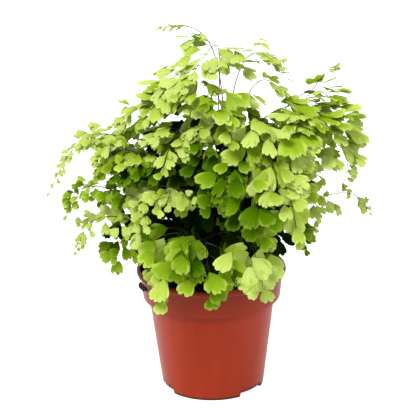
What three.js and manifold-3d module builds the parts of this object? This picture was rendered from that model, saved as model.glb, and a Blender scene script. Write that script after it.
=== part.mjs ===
// Maidenhair fern in a plastic nursery pot.
// Millimetres, +Z up. The origin is on the pot's axis, at the surface that the pot stands on,
// and the plant's best side faces -Y.
import * as THREE from 'three';
import { mergeVertices } from 'three/addons/utils/BufferGeometryUtils.js';
import Module from 'manifold-3d';

const wasm = await Module();
wasm.setup();

// Driving dimensions
const RIM_RADIUS = 60;
const POT_HEIGHT = 100;
const BAND_HEIGHT = 24;
const BAND_RADIUS = 55.2;
const WALL_RADIUS = 50.6;
const BASE_RADIUS = 41;
const WALL = 1.3;
const LIP_HEIGHT = 4.5;
const FLOOR_HEIGHT = 5;
const FOOT_WIDTH = 2.6;
const SOIL_HEIGHT = 92;
const GAP = 0.3;

// Foot of the pot: three arcs with a drain cut-out between each two
const CUTOUT_COUNT = 3;
const CUTOUT_START = -58;
const CUTOUT_ANGLE = 37;
const CUTOUT_HEIGHT = 3.4;
const DRAIN_COUNT = 4;
const DRAIN_RADIUS = 4;
const DRAIN_RING = 24;
const POT_SIDES = 36;

// Soil
const SOIL_SIDES = 20;
const SOIL_RINGS = [18, 36, 54.2];
const SOIL_LUMP = 2.6;
const STIPE_DEPTH = 8;
const HOLE_SIDES = 4;
const HOLE_RADIUS = 2.1;

// Stems and blades
const STEM_SIDES = 3;
const STEM_RADIUS = 1.1;
const STEM_STEPS = 7;
const BLADE = 0.62;
const RIB = 0.8;
const NECK = 0.5;
const FAN_PITCH = 0.85;
const FAN_AXIS = 58;
const FAN_HALF = 42;
const MOST_FANS = 2;
const SPARED = 2;
const ARCH_AT = 0.6;
const LEAFY_END = 0.92;
const ROD_END = 0.9;

// Turns, in degrees, that a pinna or a blade tries one after the other until it stands clear
const TURNS = [0, 18, -18, 36, -36, 55, -55, 80, -80];
const SWAY = 0.3;
const SIZES = [1, 0.75];

const COLOURS = {
  pot: [0x9a3d2a, 0.42],
  soil: [0x17110d, 0.95],
  frond: [0x8fb53a, 0.5],
  withered: [0x4a2f20, 0.8],
};

const UP = new THREE.Vector3(0, 0, 1);
const FRONT = new THREE.Vector3(0, -1, 0);

// Each frond: name, foot on the soil, a point of its arch, tip, pinnae, longest pinna,
// leaflet length, start of the leafy part, size at the tip, rise of the stipe
const FRONDS = [
  ['left_high', [-22, -1], [-76, -5, 212], [-125, -10, 168], 6, 22, 10, 0.58, 0.45, 0.95],
  ['left_mid', [-23, -9], [-79, -30, 176], [-110, -40, 159], 5, 18, 13, 0.56, 0.5, 0.8],
  ['left_low', [-21, -14], [-73, -42, 157], [-102, -46, 130], 5, 17, 14, 0.52, 0.45, 0.8],
  ['left_under', [-25, -5], [-62, -25, 132], [-73, -30, 113], 3, 14, 15, 0.58, 0.7, 0.8],
  ['left_upper', [-14, 2], [-46, 5, 226], [-69, 5, 205], 5, 16, 13, 0.55, 0.6, 0.95],
  ['left_inner', [-16, -10], [-56, -25, 203], [-87, -35, 188], 6, 22, 14, 0.48, 0.5, 0.95],
  ['crown_left', [-7, 3], [-16, 8, 250], [-44, -6, 236], 5, 24, 18, 0.46, 0.75, 0.95],
  ['crown_low', [-7, -2], [-20, -5, 243], [-48, -20, 227], 5, 24, 16, 0.46, 0.75, 0.95],
  ['top_wisp', [14, 11], [3, 20, 275], [-41, 14, 290], 2, 10, 7, 0.7, 0.8, 0.95],
  ['crown_top', [2, 3], [9, 8, 273], [-16, -22, 256], 6, 26, 14, 0.46, 0.8, 0.95],
  ['crown_right', [8, 6], [28, 15, 263], [59, 10, 251], 6, 24, 12, 0.5, 0.7, 0.95],
  ['crown_fork', [10, 1], [33, 5, 243], [57, 0, 241], 3, 16, 14, 0.56, 0.7, 0.95],
  ['crown_front', [1, -8], [3, -25, 248], [16, -58, 223], 6, 13, 15, 0.52, 0.8, 0.95],
  ['right_wisp', [22, 11], [75, 38, 221], [103, 40, 251], 3, 12, 9, 0.6, 0.5, 0.6],
  ['right_top', [20, 6], [68, 20, 231], [100, 15, 224], 6, 28, 16, 0.48, 0.75, 0.95],
  ['right_upper', [22, -1], [73, -10, 226], [105, -15, 206], 6, 30, 19, 0.46, 0.8, 0.95],
  ['right_mid', [26, -8], [88, -20, 206], [104, -15, 171], 6, 20, 16, 0.5, 0.4, 0.95],
  ['right_low', [27, -3], [88, -10, 159], [124, -10, 146], 4, 14, 10, 0.6, 0.65, 0.7],
  ['mid_right_a', [13, -5], [42, -20, 227], [65, -52, 206], 6, 28, 20, 0.46, 0.85, 0.95],
  ['mid_right_b', [11, -11], [39, -38, 209], [61, -76, 176], 6, 26, 16, 0.43, 0.85, 0.95],
  ['mid_right_c', [15, -15], [44, -48, 193], [65, -80, 152], 6, 26, 15, 0.43, 0.75, 0.95],
  ['mid_right_d', [6, -16], [24, -52, 194], [38, -86, 155], 6, 26, 17, 0.43, 0.85, 0.95],
  ['mid_front', [3, -12], [10, -38, 209], [1, -84, 179], 6, 24, 15, 0.43, 0.75, 0.95],
  ['mid_left_a', [-5, -8], [-19, -25, 219], [-35, -64, 199], 6, 24, 14, 0.43, 0.75, 0.95],
  ['mid_left_b', [-9, -14], [-30, -48, 180], [-60, -68, 150], 6, 24, 11, 0.4, 0.75, 0.95],
  ['mid_left_c', [-12, -9], [-46, -28, 199], [-71, -52, 185], 6, 24, 14, 0.4, 0.7, 0.95],
  ['front_left', [-6, -19], [-22, -60, 150], [-37, -73, 102], 5, 24, 21, 0.43, 0.8, 0.95],
  ['front_mid', [-1, -19], [-4, -60, 143], [0, -75, 105], 5, 22, 21, 0.43, 0.8, 0.95],
  ['front_right', [9, -20], [26, -60, 142], [39, -71, 108], 5, 22, 20, 0.43, 0.8, 0.95],
  ['side_dark', [18, -7], [56, -20, 151], [73, -25, 122], 4, 14, 12, 0.52, 0.8, 0.95],
  ['side_pale', [20, -12], [66, -32, 174], [80, -42, 146], 5, 14, 10, 0.48, 0.8, 0.95],
  ['inner_left', [-10, 7], [-34, 22, 190], [-62, 38, 150], 5, 28, 16, 0.45, 0.7, 0.95],
  ['inner_back', [1, 10], [-4, 34, 178], [-8, 58, 128], 6, 32, 16, 0.45, 0.7, 0.95],
  ['back_left', [-16, 12], [-50, 40, 204], [-92, 55, 152], 6, 26, 14, 0.45, 0.6, 0.95],
  ['back_high', [-4, 14], [-14, 46, 206], [-30, 82, 150], 6, 28, 15, 0.45, 0.6, 0.95],
  ['back_mid', [8, 15], [24, 48, 200], [40, 87, 146], 6, 28, 15, 0.45, 0.6, 0.95],
  ['back_right', [18, 13], [56, 42, 200], [90, 58, 148], 6, 26, 14, 0.45, 0.6, 0.95],
  ['back_low_left', [-9, 19], [-30, 62, 160], [-46, 82, 104], 5, 24, 15, 0.45, 0.7, 0.95],
  ['back_low_right', [6, 20], [22, 59, 150], [34, 76, 98], 5, 24, 15, 0.45, 0.7, 0.95],
  ['withered', [-41, -25.4], [-49.7, -30.8, 103.5], [-54.4, -33.7, 91], 0, 0, 8, 0.8, 0.9, 1.1],
];

const noise = (n) => {
  const s = Math.sin(n * 12.9898 + 78.233) * 43758.5453;
  return s - Math.floor(s);
};
const vec = (x, y, z) => new THREE.Vector3(x, y, z);
const clamp01 = (v) => Math.min(1, Math.max(0, v));
const radians = THREE.MathUtils.degToRad;

// Solids

function solidOf(geometry) {
  const bare = geometry.index ? geometry.toNonIndexed() : geometry;
  bare.deleteAttribute('normal');
  bare.deleteAttribute('uv');
  const merged = mergeVertices(bare, 1e-4);
  return new wasm.Manifold(new wasm.Mesh({
    numProp: 3,
    vertProperties: new Float32Array(merged.attributes.position.array),
    triVerts: new Uint32Array(merged.index.array),
  }));
}

function geometryOf(solid) {
  const mesh = solid.getMesh();
  const geometry = new THREE.BufferGeometry();
  geometry.setAttribute('position', new THREE.BufferAttribute(mesh.vertProperties, 3));
  geometry.setIndex(new THREE.BufferAttribute(mesh.triVerts, 1));
  geometry.computeVertexNormals();
  return geometry;
}

function polygon(sides, radius) {
  const points = Array.from({ length: sides }, (_, i) => {
    const a = (2 * Math.PI * i) / sides;
    return new THREE.Vector2(radius * Math.cos(a), radius * Math.sin(a));
  });
  return new THREE.Shape(points);
}

// A rod of the same section all along a curve
function rodAlong(curve, sides, radius, steps) {
  return new THREE.ExtrudeGeometry(polygon(sides, radius), { extrudePath: curve, steps });
}

// A profile of [radius, height] pairs turned about the pot's axis
function revolved(profile, sides) {
  const lathe = new THREE.LatheGeometry(profile.map(([r, z]) => new THREE.Vector2(r, z)), sides);
  return lathe.rotateX(Math.PI / 2);
}

// Pot: flared lip, upright band, step, tapering wall, floor and foot ring

function potSolid() {
  const bandFoot = POT_HEIGHT - BAND_HEIGHT;
  const lipFoot = POT_HEIGHT - LIP_HEIGHT;
  const footInner = BASE_RADIUS - FOOT_WIDTH;
  const profile = [
    [0, FLOOR_HEIGHT], [footInner - 2, FLOOR_HEIGHT], [footInner, 0], [BASE_RADIUS - 0.4, 0],
    [BASE_RADIUS, 0.6], [WALL_RADIUS, bandFoot], [BAND_RADIUS - 0.3, bandFoot],
    [BAND_RADIUS, bandFoot + 0.6], [57.2, lipFoot - 1.2], [59.3, lipFoot], [RIM_RADIUS, 97],
    [59.5, 99.3], [58.6, POT_HEIGHT], [57.6, POT_HEIGHT], [56.8, 98.2],
    [BAND_RADIUS - WALL, bandFoot + 1], [WALL_RADIUS - WALL, bandFoot - 0.8],
    [BASE_RADIUS - 1, FLOOR_HEIGHT + WALL], [0, FLOOR_HEIGHT + WALL],
  ];
  let pot = solidOf(revolved(profile, POT_SIDES));
  for (let i = 0; i < CUTOUT_COUNT; i += 1) {
    const start = radians(CUTOUT_START + (360 / CUTOUT_COUNT) * i);
    pot = pot.subtract(solidOf(footCutout(start, start + radians(CUTOUT_ANGLE))));
  }
  for (let i = 0; i < DRAIN_COUNT; i += 1) {
    const a = (2 * Math.PI * (i + 0.5)) / DRAIN_COUNT;
    const hole = new THREE.CylinderGeometry(DRAIN_RADIUS, DRAIN_RADIUS, 4 * WALL, 6);
    hole.rotateX(Math.PI / 2);
    hole.translate(DRAIN_RING * Math.cos(a), DRAIN_RING * Math.sin(a), FLOOR_HEIGHT + WALL / 2);
    pot = pot.subtract(solidOf(hole));
  }
  return pot;
}

// A sector of the foot ring that is left open for water to run out
function footCutout(from, to) {
  const inner = BASE_RADIUS - FOOT_WIDTH - 4;
  const outer = BASE_RADIUS + 3;
  const shape = new THREE.Shape();
  shape.moveTo(inner * Math.cos(from), inner * Math.sin(from));
  shape.lineTo(outer * Math.cos(from), outer * Math.sin(from));
  shape.lineTo(outer * Math.cos((from + to) / 2) * 1.06, outer * Math.sin((from + to) / 2) * 1.06);
  shape.lineTo(outer * Math.cos(to), outer * Math.sin(to));
  shape.lineTo(inner * Math.cos(to), inner * Math.sin(to));
  const cut = new THREE.ExtrudeGeometry(shape, { depth: CUTOUT_HEIGHT + 2, bevelEnabled: false });
  cut.translate(0, 0, -2);
  return cut;
}

// Soil: a plug that fills the pot, with a lumpy top and a plain hole for each stipe

function soilTop(x, y) {
  const wave = Math.sin(x * 0.19 + 1.1) * Math.cos(y * 0.23 - 0.4) + 0.6 * Math.sin(x * 0.41 - y * 0.33);
  return SOIL_HEIGHT + SOIL_LUMP * 0.5 * wave;
}

function soilSolid(holes) {
  const bandFoot = POT_HEIGHT - BAND_HEIGHT;
  const side = [
    [SOIL_RINGS.at(-1), SOIL_HEIGHT], [BAND_RADIUS - WALL - 0.5, bandFoot + 1],
    [WALL_RADIUS - WALL - 0.6, bandFoot - 1], [BASE_RADIUS - 1.6, FLOOR_HEIGHT + WALL + GAP + 0.1],
    [0, FLOOR_HEIGHT + WALL + GAP + 0.1],
  ];
  const profile = [[0, SOIL_HEIGHT], ...SOIL_RINGS.slice(0, -1).map((r) => [r, SOIL_HEIGHT]), ...side];
  const lathe = revolved(profile.reverse(), SOIL_SIDES);
  const position = lathe.attributes.position;
  for (let i = 0; i < position.count; i += 1) {
    if (position.getZ(i) > SOIL_HEIGHT - 0.01) {
      position.setZ(i, soilTop(position.getX(i), position.getY(i)));
    }
  }
  return holes.reduce((soil, hole) => soil.subtract(solidOf(hole)), solidOf(lathe));
}

// Fronds

// The stipe rises from its foot, passes through the arch point and ends at the tip
function rachisCurve(foot, arch, tip, rise) {
  const start = vec(foot[0], foot[1], SOIL_HEIGHT - STIPE_DEPTH);
  const top = vec(...arch);
  const end = vec(...tip);
  const lift = top.clone().sub(start).multiply(vec(0.12, 0.12, rise)).add(start);
  const t = ARCH_AT;
  const bend = top.clone()
    .addScaledVector(start, -((1 - t) ** 3))
    .addScaledVector(lift, -3 * (1 - t) ** 2 * t)
    .addScaledVector(end, -(t ** 3))
    .divideScalar(3 * (1 - t) * t * t);
  return new THREE.CubicBezierCurve3(start, lift, bend, end);
}

// The part of a curve from its start to t, by halving its control lines in that ratio
function firstPart(curve, t) {
  const between = (a, b) => a.clone().lerp(b, t);
  const [a, b, c] = [between(curve.v0, curve.v1), between(curve.v1, curve.v2), between(curve.v2, curve.v3)];
  const [d, e] = [between(a, b), between(b, c)];
  return new THREE.CubicBezierCurve3(curve.v0, a, d, between(d, e));
}

// The hole that a stipe stands in runs the way the stipe leaves the soil
function stipeHole({ points: [low, high] }) {
  const way = high.clone().sub(low).normalize();
  const from = low.clone().addScaledVector(way, -GAP);
  const to = low.clone().addScaledVector(way, STIPE_DEPTH + 2 * SOIL_LUMP);
  return rodAlong(new THREE.LineCurve3(from, to), HOLE_SIDES, HOLE_RADIUS, 1);
}

// The spot on a polyline that lies nearest to a point
function nearestOn(points, target) {
  let best = points[0];
  for (let i = 0; i + 1 < points.length; i += 1) {
    const spot = new THREE.Line3(points[i], points[i + 1]).closestPointToPoint(target, true, vec());
    if (spot.distanceTo(target) < best.distanceTo(target)) {
      best = spot;
    }
  }
  return best;
}

// A blade faces up in the crown, and tips outward low down and away from the middle
function facing(point, seed) {
  const radius = Math.hypot(point.x, point.y);
  const low = clamp01((265 - point.z) / 80);
  const out = vec(point.x, point.y, 0).divideScalar(Math.max(radius, 1)).addScaledVector(FRONT, 0.55 * low);
  const tilt = 16 + 62 * clamp01((radius - 5) / 70) * clamp01((282 - point.z) / 105);
  const lean = radians(tilt + 20 * (noise(seed + 0.1) - 0.5));
  const stray = vec(noise(seed + 0.2) - 0.5, noise(seed + 0.3) - 0.5, noise(seed + 0.4) - 0.5);
  return UP.clone().multiplyScalar(Math.cos(lean))
    .addScaledVector(out.normalize(), Math.sin(lean))
    .addScaledVector(stray, 0.35)
    .normalize();
}

// Plans one frond: its rachis, the pinnae that stand on it left and right, and its tip
function planFrond(row, index) {
  const [name, foot, arch, tip, pinnae, reach, size, leafy, tipScale, rise] = row;
  const curve = rachisCurve(foot, arch, tip, rise);
  const rod = firstPart(curve, ROD_END);
  const points = rod.getSpacedPoints(STEM_STEPS);
  const sideways = vec(tip[0] - arch[0], tip[1] - arch[1], 0).normalize().cross(UP);
  const sprays = [];
  for (let n = 0; n < pinnae - SPARED; n += 1) {
    const seed = index * 100 + n * 7;
    const u = n / pinnae;
    const t = leafy + (LEAFY_END - leafy) * u;
    const side = (n + index) % 2 ? 1 : -1;
    const fan = size * (1 - (1 - tipScale) * u) * (0.8 + 0.2 * noise(seed + 4));
    const length = reach * (1 - u) ** 0.6 * (0.85 + 0.3 * noise(seed)) + 5 - 0.25 * fan;
    const sag = 0.12 + 0.25 * noise(seed + 2);
    const way = sideways.clone().multiplyScalar(side * (0.8 + 0.2 * noise(seed + 1)))
      .addScaledVector(curve.getTangent(t), 0.55).normalize().addScaledVector(UP, -sag).normalize();
    sprays.push({ root: nearestOn(points, curve.getPoint(t)), way, length, fan, seed, hand: side });
  }
  const end = points.at(-1);
  const rest = curve.v3.clone().sub(end);
  const fan = size * tipScale * 0.62;
  sprays.push({
    root: end.clone().addScaledVector(rest.clone().normalize(), -NECK),
    way: rest.clone().normalize(),
    length: rest.length() + NECK,
    fan,
    seed: index * 100 + 90,
    hand: 1,
  });
  const tone = name === 'withered' ? 'withered' : 'frond';
  return { name: `frond_${name}`, tone, rod, points, sprays };
}

// The margin of a fan, cut into two lobes: [turn from its axis in half-openings, reach in lengths]
const END_FAN = [[-1.25, 0.8], [-0.6, 0.99], [0, 0.86], [0.6, 0.99], [1.25, 0.8]];
const SIDE_FAN = [[-1, 0.84], [-0.3, 1], [0.12, 0.86], [0.7, 1]];

function fanMargin(lobes, x, turn, mirror, s, grown) {
  return lobes.map(([a, r]) => {
    const angle = mirror * radians(turn - a * FAN_HALF);
    const reach = s * r + grown;
    return new THREE.Vector2(x + reach * Math.cos(angle), reach * Math.sin(angle));
  });
}

// A pinna seen square on: a slim rib along +X with fans on both sides and one at its end
function sprayShape({ length, fan, hand }, grown) {
  const rib = RIB / 2 + grown;
  const fans = Array.from({ length: MOST_FANS }, (_, j) => ({
    x: length - (j + 1) * FAN_PITCH * fan,
    s: fan * (1 + 0.1 * (j + 1)),
    side: j % 2 ? -hand : hand,
  })).filter(({ x }) => x > 0.4 * fan);
  const sideFan = ({ x, s, side }) => [
    new THREE.Vector2(x - NECK, side * rib), ...fanMargin(SIDE_FAN, x, FAN_AXIS, side, s, grown),
    new THREE.Vector2(x + NECK, side * rib),
  ];
  const right = fans.filter(({ side }) => side < 0).reverse().flatMap(sideFan);
  const left = fans.filter(({ side }) => side > 0).reverse().flatMap(sideFan).reverse();
  return new THREE.Shape([
    new THREE.Vector2(0, -rib), ...right, new THREE.Vector2(length - NECK, -rib),
    ...fanMargin(END_FAN, length, 0, -1, fan, grown),
    new THREE.Vector2(length - NECK, rib), ...left, new THREE.Vector2(0, rib),
  ]);
}

// The blade of a pinna: its outline, thickened, arched along the rib and drooping to both sides
function spraySolid(spray, frame, grown) {
  const depth = BLADE + 2 * grown;
  const blade = new THREE.ExtrudeGeometry(sprayShape(spray, grown), { depth, bevelEnabled: false });
  const position = blade.attributes.position;
  for (let i = 0; i < position.count; i += 1) {
    const x = position.getX(i);
    const y = position.getY(i);
    const bow = 0.3 * x * (1 - x / spray.length) - 0.012 * y * y;
    position.setZ(i, position.getZ(i) - depth / 2 + bow);
  }
  const across = frame.normal.clone().cross(frame.way);
  blade.applyMatrix4(new THREE.Matrix4().makeBasis(frame.way, across, frame.normal).setPosition(spray.root));
  return solidOf(blade);
}

function boxesMeet(a, b) {
  return [0, 1, 2].every((k) => a.min[k] <= b.max[k] && b.min[k] <= a.max[k]);
}

function meets(solid, others) {
  const box = solid.boundingBox();
  return others.some((other) => boxesMeet(box, other.box) && !solid.intersect(other.solid).isEmpty());
}

// A pinna's frame, twisted about its rib and swung in plan
function frameOf(spray, twist, swing) {
  const way = spray.way.clone().applyAxisAngle(UP, radians(swing));
  const middle = spray.root.clone().addScaledVector(way, spray.length / 2);
  const normal = facing(middle, spray.seed).applyAxisAngle(way, radians(twist));
  normal.addScaledVector(way, -normal.dot(way)).normalize();
  return { way, normal };
}

// Sets a frond's pinnae one by one. One that would cross another frond is twisted and swung
// until it stands clear, then tried with smaller fans, and left out where all of that fails
function growFrond(plan, obstacles) {
  plan.sprays.forEach((spray) => {
    const others = obstacles.filter((other) => other.frond !== plan.name || other.blade);
    const attempts = SIZES.flatMap((scale) => TURNS.map((turn) => {
      const sized = { ...spray, fan: spray.fan * scale };
      return { sized, frame: frameOf(sized, turn, turn * SWAY) };
    }));
    const clear = attempts.find(({ sized, frame }) => !meets(spraySolid(sized, frame, GAP), others));
    if (clear) {
      const solid = spraySolid(clear.sized, clear.frame, 0);
      plan.solids.push(solid);
      obstacles.push({ frond: plan.name, blade: true, solid, box: solid.boundingBox() });
    }
  });
}

// Joins a frond's pieces. A pocket that the joining closes is filled, and a loose scrap is dropped
function joined(solids) {
  const shells = solids.reduce((whole, piece) => whole.add(piece)).decompose();
  return shells.reduce((best, shell) => (shell.volume() > best.volume() ? shell : best));
}

function named(name, solid, [color, roughness]) {
  const material = new THREE.MeshStandardMaterial({ color, roughness, metalness: 0 });
  const mesh = new THREE.Mesh(geometryOf(solid), material);
  mesh.name = name;
  return mesh;
}

const plans = FRONDS.map(planFrond);
const pot = potSolid();
const soil = soilSolid(plans.map(stipeHole));
const obstacles = [['pot', pot], ['soil', soil]].map(([frond, solid]) => ({
  frond, solid, box: solid.boundingBox(),
}));
plans.forEach((plan) => {
  const solid = solidOf(rodAlong(plan.rod, STEM_SIDES, STEM_RADIUS, STEM_STEPS));
  plan.solids = [solid];
  obstacles.push({ frond: plan.name, solid, box: solid.boundingBox() });
});
plans.forEach((plan) => growFrond(plan, obstacles));

const fern = new THREE.Group();
fern.add(named('pot', pot, COLOURS.pot));
fern.add(named('soil', soil, COLOURS.soil));
plans.forEach((plan) => {
  fern.add(named(plan.name, joined(plan.solids), COLOURS[plan.tone]));
});

export default fern;
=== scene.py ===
"""Potted maidenhair fern: its leaves, stems, soil and pot in full detail over the part's solids.

The part stands on its pot's foot with +Z up and its best side towards -Y. Shapes are worked out
in millimetres and put into their meshes in metres.
"""
import math
from collections import namedtuple

import bpy
import numpy as np
from bpy.props import FloatProperty, FloatVectorProperty, IntProperty, PointerProperty
from mathutils import Matrix, Vector


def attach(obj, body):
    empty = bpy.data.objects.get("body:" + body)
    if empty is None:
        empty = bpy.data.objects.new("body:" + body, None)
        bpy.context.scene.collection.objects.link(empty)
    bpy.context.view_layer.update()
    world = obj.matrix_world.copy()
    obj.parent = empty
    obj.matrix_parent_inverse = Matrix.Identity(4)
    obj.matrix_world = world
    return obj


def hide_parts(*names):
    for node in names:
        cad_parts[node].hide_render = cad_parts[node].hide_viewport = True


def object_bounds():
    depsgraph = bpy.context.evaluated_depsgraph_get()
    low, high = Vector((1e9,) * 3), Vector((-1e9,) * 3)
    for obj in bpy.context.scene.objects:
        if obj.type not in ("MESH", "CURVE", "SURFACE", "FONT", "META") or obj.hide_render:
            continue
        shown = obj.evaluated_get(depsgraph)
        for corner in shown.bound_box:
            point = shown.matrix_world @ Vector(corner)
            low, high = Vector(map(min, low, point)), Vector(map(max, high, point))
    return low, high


bl_info = {
    "name": "Potted Maidenhair Fern",
    "version": (1, 0, 0),
    "blender": (4, 5, 0),
    "location": "View3D > Sidebar > Fern",
    "description": "Grows the fronds, soil and pot of a maidenhair fern over the part's solids",
    "category": "Add Mesh",
}

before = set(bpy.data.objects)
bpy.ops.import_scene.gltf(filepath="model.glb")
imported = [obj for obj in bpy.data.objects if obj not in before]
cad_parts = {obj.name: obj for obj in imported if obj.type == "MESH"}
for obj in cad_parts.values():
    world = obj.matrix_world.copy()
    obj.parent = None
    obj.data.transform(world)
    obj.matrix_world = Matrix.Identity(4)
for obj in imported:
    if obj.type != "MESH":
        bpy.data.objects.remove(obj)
CAD_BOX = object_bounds()

MM = 0.001
UP = np.array([0.0, 0.0, 1.0])
FRONT = np.array([0.0, -1.0, 0.0])

# Heights that the solids share, in millimetres
SOIL_HEIGHT = 92.0
STIPE_DEPTH = 8.0
BAND_FOOT = 76.0
# How far along a stem its arch point lies and its side stalks end
ARCH_AT = 0.6
LEAFY_END = 0.92
# How far leaves may go past the solids' box on each side, as a share of its size
BOX_GROWTH = 0.012

USUAL_RISE = 0.95
Frond = namedtuple(
    "Frond", "name foot arch tip pinnae reach size leafy end_scale end_leaves age fill rise",
    defaults=[USUAL_RISE],
)

# Foot on the soil, a point of the arch, tip, side stalks, longest side stalk, leaflet length,
# start of the leafy part, size at the tip, leaflets at the tip, age from 0 for pale new leaves to
# 1 for old dark ones, which is also painted shade, set higher for fronds in the plant's shade, how
# bushy it is, from 0 for a bare wisp over 1 for a full frond to more for those that fill the middle
# and the back, and the rise of the stem where it isn't the usual one
FRONDS = [Frond(*row) for row in (
    ("left_high", (-22, -1), (-76, -5, 212), (-125, -10, 168), 8, 20, 14, 0.45, 0.4, 7, 0, 0.9),
    ("left_mid", (-23, -9), (-79, -30, 176), (-110, -40, 159), 8, 19, 14, 0.42, 0.5, 5, 0.58, 0.7, 0.8),
    ("left_low", (-21, -14), (-73, -42, 157), (-102, -46, 130), 8, 18, 14, 0.4, 0.45, 5, 0, 0.5, 0.8),
    ("left_under", (-25, -5), (-62, -25, 132), (-73, -30, 113), 6, 14, 16, 0.45, 0.7, 2, 0.62, 0, 0.8),
    ("left_upper", (-14, 2), (-46, 5, 226), (-69, 5, 205), 5, 16, 13, 0.55, 0.6, 5, 0.2, 0.4),
    ("left_inner", (-16, -10), (-56, -25, 203), (-87, -35, 188), 6, 22, 16, 0.48, 0.5, 5, 0.35, 1),
    ("crown_left", (-7, 3), (-16, 8, 250), (-44, -6, 236), 7, 24, 24, 0.46, 0.75, 4, 0.05, 0.7),
    ("crown_low", (-7, -2), (-20, -5, 243), (-48, -20, 227), 5, 24, 18, 0.46, 0.75, 4, 0.3, 0.9),
    ("top_wisp", (14, 11), (3, 20, 275), (-41, 14, 290), 2, 10, 7, 0.7, 0.8, 8, 0.1, 0),
    ("crown_top", (2, 3), (9, 8, 273), (-16, -22, 256), 6, 26, 17, 0.46, 0.8, 5, 0.05, 0.8),
    ("crown_right", (8, 6), (28, 15, 263), (59, 10, 251), 6, 24, 14, 0.5, 0.7, 5, 0, 0.3),
    ("crown_fork", (10, 1), (33, 5, 243), (57, 0, 241), 3, 16, 14, 0.56, 0.7, 3, 0.05, 0.2),
    ("crown_front", (1, -8), (3, -25, 248), (16, -58, 223), 6, 12, 18, 0.52, 0.8, 5, 0.42, 0.5),
    ("right_wisp", (22, 11), (75, 38, 221), (103, 40, 251), 3, 12, 9, 0.6, 0.5, 6, 0.1, 0, 0.6),
    ("right_top", (20, 6), (68, 20, 231), (100, 15, 224), 6, 28, 19, 0.48, 0.75, 5, 0.45, 0.3),
    ("right_upper", (22, -1), (73, -10, 226), (105, -15, 206), 6, 30, 24, 0.42, 0.8, 5, 0.45, 1),
    ("right_mid", (26, -8), (88, -20, 206), (104, -15, 171), 6, 20, 19, 0.44, 0.4, 6, 0.3, 0.8),
    ("right_low", (27, -3), (88, -10, 159), (124, -10, 146), 3, 12, 10, 0.6, 0.7, 8, 0, 0, 0.7),
    ("mid_right_a", (13, -5), (42, -20, 227), (65, -52, 206), 6, 28, 26, 0.46, 0.85, 5, 0.36, 1),
    ("mid_right_b", (11, -11), (39, -38, 209), (61, -76, 176), 6, 26, 22, 0.43, 0.85, 5, 0.28, 1),
    ("mid_right_c", (15, -15), (44, -48, 193), (65, -80, 152), 6, 26, 21, 0.43, 0.75, 5, 0.22, 1),
    ("mid_right_d", (6, -16), (24, -52, 194), (38, -86, 155), 6, 26, 22, 0.43, 0.85, 5, 0.76, 1),
    ("mid_front", (3, -12), (10, -38, 209), (1, -84, 179), 6, 24, 21, 0.43, 0.75, 5, 0.84, 1),
    ("mid_left_a", (-5, -8), (-19, -25, 219), (-35, -64, 199), 6, 24, 15, 0.43, 0.75, 5, 0.28, 1),
    ("mid_left_b", (-9, -14), (-30, -48, 180), (-60, -68, 150), 7, 34, 11, 0.4, 0.75, 5, 0.15, 1),
    ("mid_left_c", (-12, -9), (-46, -28, 199), (-71, -52, 185), 6, 24, 15, 0.4, 0.7, 5, 0.85, 1),
    ("front_left", (-6, -19), (-22, -60, 150), (-37, -73, 102), 7, 17, 23, 0.46, 0.8, 3, 0.44, 0.3),
    ("front_mid", (-1, -19), (-4, -60, 143), (0, -75, 105), 6, 22, 24, 0.46, 0.8, 3, 0.62, 0.3),
    ("front_right", (9, -20), (26, -60, 142), (39, -71, 108), 5, 18, 23, 0.43, 0.8, 3, 0.12, 0),
    ("side_dark", (18, -7), (56, -20, 151), (73, -25, 122), 4, 14, 12, 0.52, 0.8, 5, 0.75, 0.4),
    ("side_pale", (20, -12), (66, -32, 174), (80, -42, 146), 5, 14, 10, 0.48, 0.8, 5, 0.15, 0.6),
    ("inner_left", (-10, 7), (-34, 22, 190), (-62, 38, 150), 5, 28, 16, 0.45, 0.7, 5, 0.9, 1.6),
    ("inner_back", (1, 10), (-4, 34, 178), (-8, 58, 128), 6, 32, 16, 0.45, 0.7, 5, 0.95, 2.6),
    ("back_left", (-16, 12), (-50, 40, 204), (-92, 55, 152), 6, 26, 14, 0.45, 0.6, 5, 0.2, 1.3),
    ("back_high", (-4, 14), (-14, 46, 206), (-30, 82, 150), 6, 28, 15, 0.45, 0.6, 5, 0.25, 1.6),
    ("back_mid", (8, 15), (24, 48, 200), (40, 87, 146), 6, 28, 15, 0.45, 0.6, 5, 0.3, 1.6),
    ("back_right", (18, 13), (56, 42, 200), (90, 58, 148), 6, 26, 14, 0.45, 0.6, 5, 0.35, 1.3),
    ("back_low_left", (-9, 19), (-30, 62, 160), (-46, 82, 104), 5, 24, 15, 0.45, 0.7, 5, 0.3, 1),
    ("back_low_right", (6, 20), (22, 59, 150), (34, 76, 98), 5, 24, 15, 0.45, 0.7, 5, 0.3, 1),
    ("withered", (-41, -25.4), (-49.7, -30.8, 103.5), (-56.3, -31.5, 101), 0, 0, 17, 0.8, 0.9, 0, 1, 0, 1.1),
)]


# Shapes


def noise(n):
    """A number from 0 to 1 that looks random: the fraction of 43758.5453 sin(12.9898 n + 78.233)."""
    wave = np.sin(np.asarray(n, float) * 12.9898 + 78.233) * 43758.5453
    return wave - np.floor(wave)


def ramp(value, zero, one):
    """A share that climbs evenly from 0 at the value zero to 1 at one, and is level past them."""
    return np.clip((value - zero) / (one - zero), 0, 1)


def unit(vectors):
    """Vectors divided by their lengths."""
    return vectors / np.maximum(np.linalg.norm(vectors, axis=-1, keepdims=True), 1e-9)


def along(corners, t):
    """Points of Bezier curves: corner i of n weighs comb(n, i) t^i (1 - t)^(n - i)."""
    n = corners.shape[-2] - 1
    t = np.asarray(t, float)[..., None]
    weights = [math.comb(n, i) * t**i * (1 - t) ** (n - i) for i in range(n + 1)]
    return sum(w * corners[..., i, :] for i, w in enumerate(weights))


def heading(corners, t):
    """Directions of Bezier curves: points of the curves on the corners' differences."""
    return unit(along(np.diff(corners, axis=-2), t))


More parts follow.
